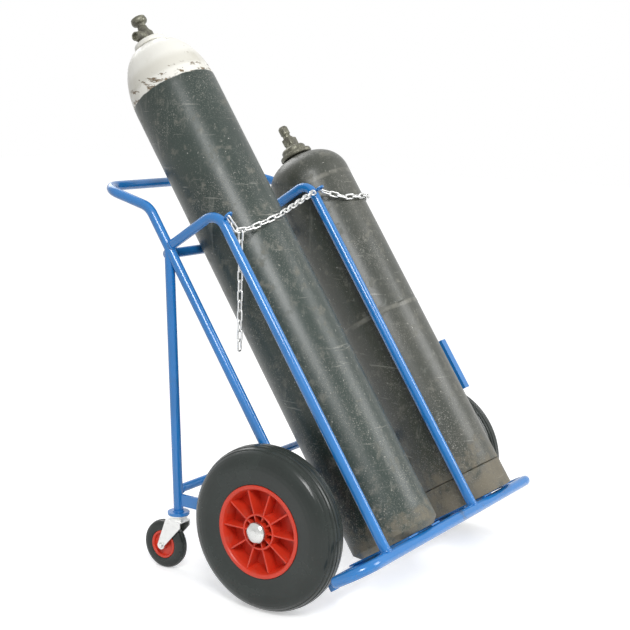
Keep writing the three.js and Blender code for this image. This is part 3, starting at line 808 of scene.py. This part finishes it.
class CART_OT_main_wheels(bpy.types.Operator):
    """Make the two large wheels with their axle, spacers and hub caps"""

    bl_idname = "cart.main_wheels"
    bl_label = "Main wheels"

    def execute(self, context):
        steps = context.scene.cart_sizes.wheel_steps
        tyre = both_faces([
            (200, 4.5), (197, 5.6), (197, 7.4), (199.4, 8.6), (198.4, 15), (195.2, 16), (195, 18),
            (196.6, 19.2), (193.4, 26), (190.4, 27.2), (189.6, 29), (190.6, 30.8), (185.6, 36.2),
            (179, 40.8), (171, 44.2), (161, 46.4), (150, 46.9), (139, 45.4), (129, 43.2), (121, 41.6),
            (115, 41), (112.6, 40.4), (112.6, 35.6), (101, 34),
        ])
        drum = [
            (112, 42), (110, 43), (104, 43), (101.5, 40.5), (98, 32), (93.5, 0), (98, -32), (101.5, -40.5),
            (104, -43), (110, -43), (112, -42), (112, -36), (101, -34.4), (101, 34.4), (112, 36),
        ]
        web = [(95, 3.2), (95, -3.2), (20, -3.2), (20, 3.2)]
        inner_ring = [(43.5, 40), (43.5, -40), (38.5, -40), (38.5, 40)]
        boss = [(24, 42), (22, 45), (AXLE_BORE, 45), (AXLE_BORE, -45), (22, -45), (24, -42)]
        cap = [
            (0, 15), (8.4, 14.4), (15.6, 12.6), (21, 9.6), (24.6, 6), (25.9, 3), (26.4, 0.4),
            (AXLE_BORE, 0.2),
        ]
        spacer = [(AXLE_BORE, -9.5), (16, -9.5), (16, 9.5), (AXLE_BORE, 9.5)]
        for side, sign in SIDES:
            hub = centre(f"wheel_centre_{side}")
            place = across(sign, hub)
            rubber = turned(tyre, place, steps=steps, corner=0.9, closed=True)
            stand_in(f"main_tyre_{side}", "moulded", "dusty_rubber", rubber)
            parts = []
            for outline in (drum, web, inner_ring, boss):
                parts.append(turned(outline, place, steps=steps, corner=1.6, closed=True))
            middle = Matrix.Translation((RIB_MIDDLE * MM, 0, 0))
            for i in range(WHEEL_RIBS):
                turn = Matrix.Rotation(2 * math.pi * (i + 0.5) / WHEEL_RIBS, 4, "Z")
                parts.append(bar(RIB_SIZE, place @ turn @ middle, edge=1.1))
            stand_in(f"wheel_centre_{side}", "moulded", "wheel_red", joined(parts))
            face = across(sign, hub + Vector((sign * CAP_FACE * MM, 0, 0)))
            stand_in(f"hub_cap_{side}", "domed", "cap_chrome", turned(cap, face, steps=48, corner=0.6))
            gap = across(sign, centre(f"wheel_spacer_{side}"))
            sleeve = turned(spacer, gap, steps=40, corner=0.6, closed=True)
            stand_in(f"wheel_spacer_{side}", "turned", "zinc_plate", sleeve)
        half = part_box("axle")[1].x / MM
        shaft = [(0, -half), (AXLE_RADIUS, -half), (AXLE_RADIUS, half), (0, half)]
        stand_in("axle", "turned", "zinc_plate", turned(shaft, across(1, AXLE), steps=40, corner=1.2))
        return {"FINISHED"}


class CART_OT_castors(bpy.types.Operator):
    """Make the two swivel castors and the flanges they hang from"""

    bl_idname = "cart.castors"
    bl_label = "Castors"

    def execute(self, context):
        tyre = both_faces([
            (62.5, 3), (60.4, 3.8), (60.4, 5.2), (61.8, 6), (60.4, 9.6), (57.2, 12.4), (51, 14.4),
            (43, 14.9), (39.5, 14), (37, 12.6), (36.5, 11),
        ])
        hub = [
            (36, 12.6), (35, 13.4), (30.5, 13.4), (29, 11), (29, 5), (12, 4), (11, 16), (9.5, 17.4),
            (4.6, 17.4),
        ]
        hub += [(r, -h) for r, h in reversed(hub)]
        shank = [(0, -26.6), (3.4, -26.6), (4, -26), (4, 26), (3.4, 26.6), (0, 26.6)]
        head = [
            (0, 170), (7.5, 170), (7.5, 148), (25, 148), (25, 145.4), (23, 142.4), (5, 142.2), (5, 129.7),
            (8, 129.4), (8, 128), (5, 126.2), (0, 126),
        ]
        disc = [(8.3, 148.3), (28, 148.3), (28, 156.3), (8.3, 156.3)]
        for side, sign in SIDES:
            flange = centre(f"castor_flange_{side}")
            below = Matrix.Translation((flange.x, flange.y, 0))
            plate = turned(disc, below, steps=48, corner=1.4, closed=True)
            stand_in(f"castor_flange_{side}", "turned", "frame_gloss", plate)
            swivel = turned(head, below, steps=40, corner=0.7)
            stand_in(f"castor_head_{side}", "pressed", "zinc_plate", swivel)
            dress(f"castor_fork_{side}", "zinc_plate", 0.9)
            wheel = across(sign, centre(f"castor_hub_{side}"))
            bolt = [turned(shank, wheel, steps=24, corner=0)]
            for low, high in (NUT_HEIGHTS, [-h for h in reversed(NUT_HEIGHTS)]):
                bolt.append(nut(NUT_FLATS, low, high, wheel))
            stand_in(f"castor_bolt_{side}", "hex", "zinc_plate", joined(bolt))
            moulding = turned(hub, wheel, steps=56, corner=0.8, closed=True)
            stand_in(f"castor_hub_{side}", "moulded", "wheel_red", moulding)
            rubber = turned(tyre, wheel, steps=72, corner=0.7, closed=True)
            stand_in(f"castor_tyre_{side}", "moulded", "dusty_rubber", rubber)
        return {"FINISHED"}


def shoulder_arc(bottle, drop, steps=14):
    """Outline of a bottle's shoulder, from its wall to its neck."""
    start = bottle["shoulder"]
    rise = bottle["neck"] - drop - start
    reach = bottle["r"] - NECK_R
    turns = [i / steps * SHOULDER_TURN for i in range(1, steps + 1)]
    return [(NECK_R + reach * math.cos(a), start + rise * math.sin(a)) for a in turns]


def neck_end(bottle):
    """Outline of a bottle's plain neck, up to the axis."""
    neck = bottle["neck"]
    return [(NECK_R, neck - NECK_LENGTH), (NECK_R, neck), (0, neck)]


def bottle_axis(bottle):
    return LEANING @ Matrix.Translation(Vector((bottle["x"], -bottle["u"], 0)) * MM)


class CART_OT_tall_cylinder(bpy.types.Operator):
    """Make the tall gas cylinder with its neck ring, valve and handwheel"""

    bl_idname = "cart.tall_cylinder"
    bl_label = "Tall cylinder"

    def execute(self, context):
        axis = bottle_axis(TALL)
        r, base = TALL["r"], TALL["base"]
        shell = [(0, base + 16), (r * 0.6, base + 11), (r - 14, base), (r, base + 15)]
        shell += [(r, base + 160), (r, base + 620), (r, TALL["shoulder"])]
        shell += shoulder_arc(TALL, 8) + neck_end(TALL)
        wall = turned(shell, axis, steps=BOTTLE_STEPS, corner=3)
        piece(wall, "tall_cylinder_body", "tall_cylinder_paint", ["tall_cylinder_shell"])
        collar = [(33.4, 1501.6), (42, 1501.6), (44, 1506), (42, 1514), (33.4, 1514)]
        band = turned(collar, axis, steps=56, corner=1.5, closed=True)
        piece(band, "tall_cylinder_collar", "tall_cylinder_paint", ["tall_cylinder_neck_ring"])
        stem = [
            (0, 1506), (13.6, 1506), (13.6, 1508.6), (20, 1510), (20.5, 1538), (16, 1545), (13.5, 1552),
            (12.5, 1560), (0, 1560),
        ]
        spout = [(0, 0), (14.4, 0), (14.4, 33), (12, 35), (12, 45), (8, 45.6), (8, 38), (0, 38)]
        side = axis @ Matrix.Translation((0, 0, OUTLET_V * MM)) @ Matrix.Rotation(-math.pi / 2, 4, "Y")
        parts = [
            turned(stem, axis, steps=40, corner=1.2),
            nut(37, 1511, 1522, axis),
            turned(spout, side, steps=36, corner=0.8),
            nut(27, 22, 32, side),
        ]
        piece(joined(parts), "tall_cylinder_valve_body", "valve_bronze", ["tall_cylinder_valve"])
        knob = [
            (0, 1560.5), (10.6, 1560.5), (12, 1567), (19, 1570.4), (21, 1574), (21.2, 1579), (19.6, 1585.6),
            (12, 1589.4), (5, 1591.4), (0, 1591.8),
        ]
        wheel = turned(knob, axis, steps=48, corner=1.2)
        piece(wheel, "tall_handwheel_cast", "valve_bronze", ["tall_cylinder_handwheel"])
        return {"FINISHED"}


class CART_OT_short_cylinder(bpy.types.Operator):
    """Make the short gas cylinder with its foot ring, neck ring, valve and spindle"""

    bl_idname = "cart.short_cylinder"
    bl_label = "Short cylinder"

    def execute(self, context):
        axis = bottle_axis(SHORT)
        r, base, seam = SHORT["r"], SHORT["base"], SHORT["seam"]
        inside = r - FOOT_RING_STEP
        shell = [(0, base + 16), (r * 0.6, base + 14), (r - 22, base + 6), (inside, base + 24)]
        shell += [(inside, seam - 3), (inside, seam + 0.6), (r, seam + 2)]
        shell += [(r, 633), (r + 0.7, 637), (r + 0.7, 643), (r, 647), (r, SHORT["shoulder"])]
        shell += shoulder_arc(SHORT, 14) + neck_end(SHORT)
        wall = turned(shell, axis, steps=BOTTLE_STEPS, corner=2)
        piece(wall, "short_cylinder_body", "short_cylinder_paint", ["short_cylinder_shell"])
        band = [(r - 4, base), (r, base), (r, seam - 1), (r - 4, seam - 1)]
        foot = turned(band, axis, steps=BOTTLE_STEPS, corner=1.6, closed=True)
        piece(foot, "short_cylinder_foot", "short_cylinder_paint", ["short_cylinder_foot_ring"])
        collar = [
            (33.2, 1152.2), (44, 1152.2), (46, 1157), (45, 1163.6), (35, 1167), (35, 1177), (31, 1181.8),
            (24, 1181.8), (24, 1160.6), (33.2, 1160.6),
        ]
        neck_ring = turned(collar, axis, steps=56, corner=1.6, closed=True)
        piece(neck_ring, "short_cylinder_collar", "valve_bronze", ["short_cylinder_neck_ring"])
        body = [(0, 1158), (20, 1161), (20.6, 1184), (16, 1190), (15, 1213.6), (12, 1214), (0, 1214)]
        block = axis @ Matrix.Translation(Vector(VALVE_BLOCK_PLACE) * MM)
        parts = [
            turned(body, axis, steps=40, corner=1.4),
            bar(VALVE_BLOCK, block, edge=3),
            nut(34, 1182, 1189, axis),
        ]
        piece(joined(parts), "short_cylinder_valve_body", "valve_bronze", ["short_cylinder_valve"])
        stem = [
            (0, 1214.6), (11.6, 1214.6), (11.6, 1220), (9.6, 1222), (13.6, 1226), (13.6, 1245), (9.8, 1250),
            (0, 1251),
        ]
        spindle = turned(stem, axis, steps=14, corner=1.0)
        piece(spindle, "short_spindle_turned", "valve_bronze", ["short_cylinder_spindle"])
        return {"FINISHED"}


def chain_link(wire):
    """One welded link about the origin: two straight wires and two half turns."""
    run = (LINK["half"] - LINK["turn"]) * MM
    turn = LINK["turn"] * MM
    bm = bmesh.new()
    start = Matrix.Translation((-run, turn, 0)) @ Matrix.Rotation(math.pi / 2, 4, "Y")
    loop = wire_end(bm, wire, LINK_SIDES, start)
    for sign in (1, -1):
        loop = push(bm, loop, Vector((2 * run * sign, 0, 0)))
        loop = spun(bm, ends_of(loop), loop, (run * sign, 0, 0), (0, 0, -1), math.pi, LINK_TURN_STEPS)
    settled(bm)
    return bm


def chain(route, outward, wire, first=0):
    """Links at an even pitch along a route, each a quarter turn from the last."""
    lengths = [0.0]
    for a, b in zip(route, route[1:]):
        lengths.append(lengths[-1] + (b - a).length)
    count = math.floor(lengths[-1] / (LINK["pitch"] * MM) + NEARLY)
    pitch = lengths[-1] / count

    def along(distance):
        reached = (k for k, q in enumerate(lengths) if q >= distance - NEARLY * MM and k > 0)
        i = next(reached, len(route) - 1)
        share = (distance - lengths[i - 1]) / (lengths[i] - lengths[i - 1])
        return route[i - 1].lerp(route[i], min(share, 1.0))

    links = []
    for i in range(count):
        a, b = along(i * pitch), along((i + 1) * pitch)
        middle = (a + b) / 2
        x = (b - a).normalized()
        side = outward(middle).cross(x).normalized()
        turn = Matrix((x, side, x.cross(side))).transposed().to_4x4()
        quarter = math.pi / 4 if (i + first) % 2 else -math.pi / 4
        bm = chain_link(wire)
        place = Matrix.Translation(middle) @ turn @ Matrix.Rotation(quarter, 4, "X")
        bmesh.ops.transform(bm, matrix=place, verts=bm.verts[:])
        links.append(bm)
    return joined(links)


def wrap(start, bottle, end, heights, arc_steps=16, straight_steps=8):
    """A route round a bottle's front: tangent, arc, tangent; heights are [share of length, v] pairs."""
    middle = Vector((bottle["x"], bottle["u"]))
    radius = bottle["r"] + LINK["stand_off"]

    def touch(point, sign):
        d = point - middle
        return math.atan2(d.y, d.x) % (2 * math.pi) + sign * math.acos(radius / d.length)

    first, last = touch(start, -1), touch(end, 1)
    last = last - 2 * math.pi if last > first else last
    turns = [first + (last - first) * i / arc_steps for i in range(arc_steps + 1)]
    arc = [middle + Vector((math.cos(a), math.sin(a))) * radius for a in turns]
    flat = [start.lerp(arc[0], i / straight_steps) for i in range(straight_steps)] + arc[:-1]
    flat += [arc[-1].lerp(end, i / straight_steps) for i in range(straight_steps + 1)]
    lengths = [0.0]
    for a, b in zip(flat, flat[1:]):
        lengths.append(lengths[-1] + (b - a).length)

    def height(share):
        spans = zip(heights, heights[1:])
        (t0, v0), (t1, v1) = next(span for span in spans if share <= span[1][0] + NEARLY * MM)
        return v0 + (v1 - v0) * (share - t0) / (t1 - t0)

    return [on_frame(p.x, p.y, height(s / lengths[-1])) for p, s in zip(flat, lengths)]


def away_from(bottle):
    """The direction out of a bottle's wall at any place beside it."""
    axis = on_frame(bottle["x"], bottle["u"], 0)

    def outward(place):
        arm = place - axis
        return (arm - UP_RAILS * arm.dot(UP_RAILS)).normalized()

    return outward


class CART_OT_safety_chain(bpy.types.Operator):
    """Make the chain, its loose tail and the eyes that hold it"""

    bl_idname = "cart.safety_chain"
    bl_label = "Safety chain"

    def execute(self, context):
        wire = context.scene.cart_sizes.link_wire
        for name, tilt in EYE_TILTS.items():
            turn = Matrix.Rotation(-LEAN, 4, "X") @ Matrix.Rotation(tilt, 4, "X")
            place = Matrix.Translation(centre(f"chain_eye_{name}")) @ turn
            stand_in(f"chain_eye_{name}", "bent", "frame_gloss", ring(EYE["ring"], EYE["wire"], place))
        x, u, v = TAIL_LINK_START
        left = [on_frame(*LEFT_HANG)]
        left += wrap(
            Vector((x, u)), TALL, Vector((MID_HOOP_X - EYE_CLEAR, HOOK_U)),
            [(0, v), *LEFT_SAG, (1, HOOK_V)],
        )
        stand_in("chain_span_left", "links", "zinc_plate", chain(left, away_from(TALL), wire, 1))
        right = wrap(
            Vector((MID_HOOP_X + EYE_CLEAR, HOOK_U)), SHORT, Vector((RAIL_X + EYE_CLEAR, RIGHT_EYE_U)),
            [(0, HOOK_V), *RIGHT_SAG, (1, RIGHT_EYE_V)],
        )
        stand_in("chain_span_right", "links", "zinc_plate", chain(right, away_from(SHORT), wire))
        top = on_frame(*CHAIN_DROP) + Vector((0, 0, TAIL_RISE * MM))
        fall = [top, top - Vector((0, 0, TAIL_LINKS * LINK["pitch"] * MM))]
        tail = chain(fall, lambda place: Vector((1, -1, 0)), wire)
        stand_in("chain_tail", "links", "zinc_plate", tail)
        return {"FINISHED"}


CAMERA_PLACE = (-2.8277, -1.8627, 1.2216)
CAMERA_TURN = (80.175, -1.219, -56.577)
CAMERA_LENS = 74.96
SENSOR_WIDTH = 36
LIT_PLACE = Vector((0, 0, 0.65))
SOFTBOXES = {
    "key_softbox": ((-3.0, -2.2, 3.4), 1.5, 122),
    "fill_softbox": ((1.8, -3.6, 2.8), 2.2, 98),
    "back_softbox": ((1.2, 3.2, 3.4), 2.4, 58),
}
WORLD_LIGHT = 0.42
WORLD_SEEN = 1.0
FLOOR_HALF = 14
FLOOR_FADE = (0.9, 2.6)
FLOOR_SEEN_NEAR = (0.44, 0.44, 0.44)
FLOOR_SEEN_FAR = (1.0, 1.0, 1.0)
FLOOR_MATT_NEAR = (0.86, 0.86, 0.86)
FLOOR_MATT_FAR = (0.1, 0.1, 0.1)
BLACK = (0.0, 0.0, 0.0)


class CART_OT_stage(bpy.types.Operator):
    """Make the floor, the soft studio light and the camera"""

    bl_idname = "cart.stage"
    bl_label = "Stage"

    def execute(self, context):
        scene = context.scene
        scene.view_settings.view_transform = "Standard"
        bm = bmesh.new()
        bmesh.ops.create_grid(bm, x_segments=1, y_segments=1, size=FLOOR_HALF)
        mesh = bpy.data.meshes.new("studio_floor")
        bm.to_mesh(mesh)
        bm.free()
        floor = bpy.data.objects.new("studio_floor", mesh)
        scene.collection.objects.link(floor)
        pale = Finish("studio_floor")
        seen = pale.node("ShaderNodeLightPath", output="Is Camera Ray")
        reflected = pale.node("ShaderNodeLightPath", output="Is Glossy Ray")
        through = pale.node("ShaderNodeLightPath", output="Is Transmission Ray")
        place = pale.node("ShaderNodeTexCoord", output="Object")
        far = pale.node("ShaderNodeVectorMath", {"operation": "LENGTH"}, {0: place}, "Value")
        edge = pale.step(far, *FLOOR_FADE)
        pool = pale.mix(edge, FLOOR_SEEN_NEAR, FLOOR_SEEN_FAR)
        matt = pale.mix(edge, FLOOR_MATT_NEAR, FLOOR_MATT_FAR)
        glow = pale.mix(seen + reflected + through, BLACK, pool)
        mesh.materials.append(
            pale.shade(Base_Color=matt, Roughness=0.9, Emission_Color=glow, Emission_Strength=1.0)
        )

        world = bpy.data.worlds.new("studio_world")
        world.use_nodes = True
        scene.world = world
        nodes, links = world.node_tree.nodes, world.node_tree.links
        background = nodes["Background"]
        rays = nodes.new("ShaderNodeLightPath")
        level = nodes.new("ShaderNodeMapRange")
        level.inputs["To Min"].default_value = WORLD_LIGHT
        level.inputs["To Max"].default_value = WORLD_SEEN
        seen = rays.outputs["Is Camera Ray"]
        for kind in ("Is Glossy Ray", "Is Transmission Ray"):
            either = nodes.new("ShaderNodeMath")
            links.new(seen, either.inputs[0])
            links.new(rays.outputs[kind], either.inputs[1])
            seen = either.outputs[0]
        links.new(seen, level.inputs["Value"])
        links.new(level.outputs[0], background.inputs["Strength"])
        background.inputs["Color"].default_value = (1, 1, 1, 1)

        for name, (place, size, power) in SOFTBOXES.items():
            lamp = bpy.data.lights.new(name, "AREA")
            lamp.size = size
            lamp.energy = power
            obj = bpy.data.objects.new(name, lamp)
            obj.location = place
            obj.rotation_euler = (LIT_PLACE - Vector(place)).to_track_quat("-Z", "Y").to_euler()
            scene.collection.objects.link(obj)

        camera = bpy.data.cameras.new("photo_camera")
        camera.lens = CAMERA_LENS
        camera.sensor_width = SENSOR_WIDTH
        obj = bpy.data.objects.new("photo_camera", camera)
        obj.location = CAMERA_PLACE
        obj.rotation_euler = [math.radians(a) for a in CAMERA_TURN]
        scene.collection.objects.link(obj)
        scene.camera = obj
        return {"FINISHED"}


OPERATORS = (
    CART_OT_frame_tubes,
    CART_OT_weld_beads,
    CART_OT_flat_bars,
    CART_OT_main_wheels,
    CART_OT_castors,
    CART_OT_tall_cylinder,
    CART_OT_short_cylinder,
    CART_OT_safety_chain,
    CART_OT_stage,
)


class CART_PT_panel(bpy.types.Panel):
    """Lists the cart's sizes, colours and pieces"""

    bl_idname = "CART_PT_panel"
    bl_label = "Welding cart"
    bl_space_type = "VIEW_3D"
    bl_region_type = "UI"
    bl_category = "Welding cart"

    def draw(self, context):
        for group in (context.scene.cart_sizes, context.scene.cart_colours):
            for name in group.__annotations__:
                self.layout.prop(group, name)
        for operator in OPERATORS:
            self.layout.operator(operator.bl_idname)


CLASSES = (CartSizes, CartColours, *OPERATORS, CART_PT_panel)


def register():
    for cls in CLASSES:
        bpy.utils.register_class(cls)
    bpy.types.Scene.cart_sizes = PointerProperty(type=CartSizes)
    bpy.types.Scene.cart_colours = PointerProperty(type=CartColours)


def unregister():
    del bpy.types.Scene.cart_colours
    del bpy.types.Scene.cart_sizes
    for cls in reversed(CLASSES):
        bpy.utils.unregister_class(cls)


def main():
    register()
    for operator in OPERATORS:
        getattr(bpy.ops.cart, operator.bl_idname.split(".")[1])()


if __name__ == "__main__":
    main()
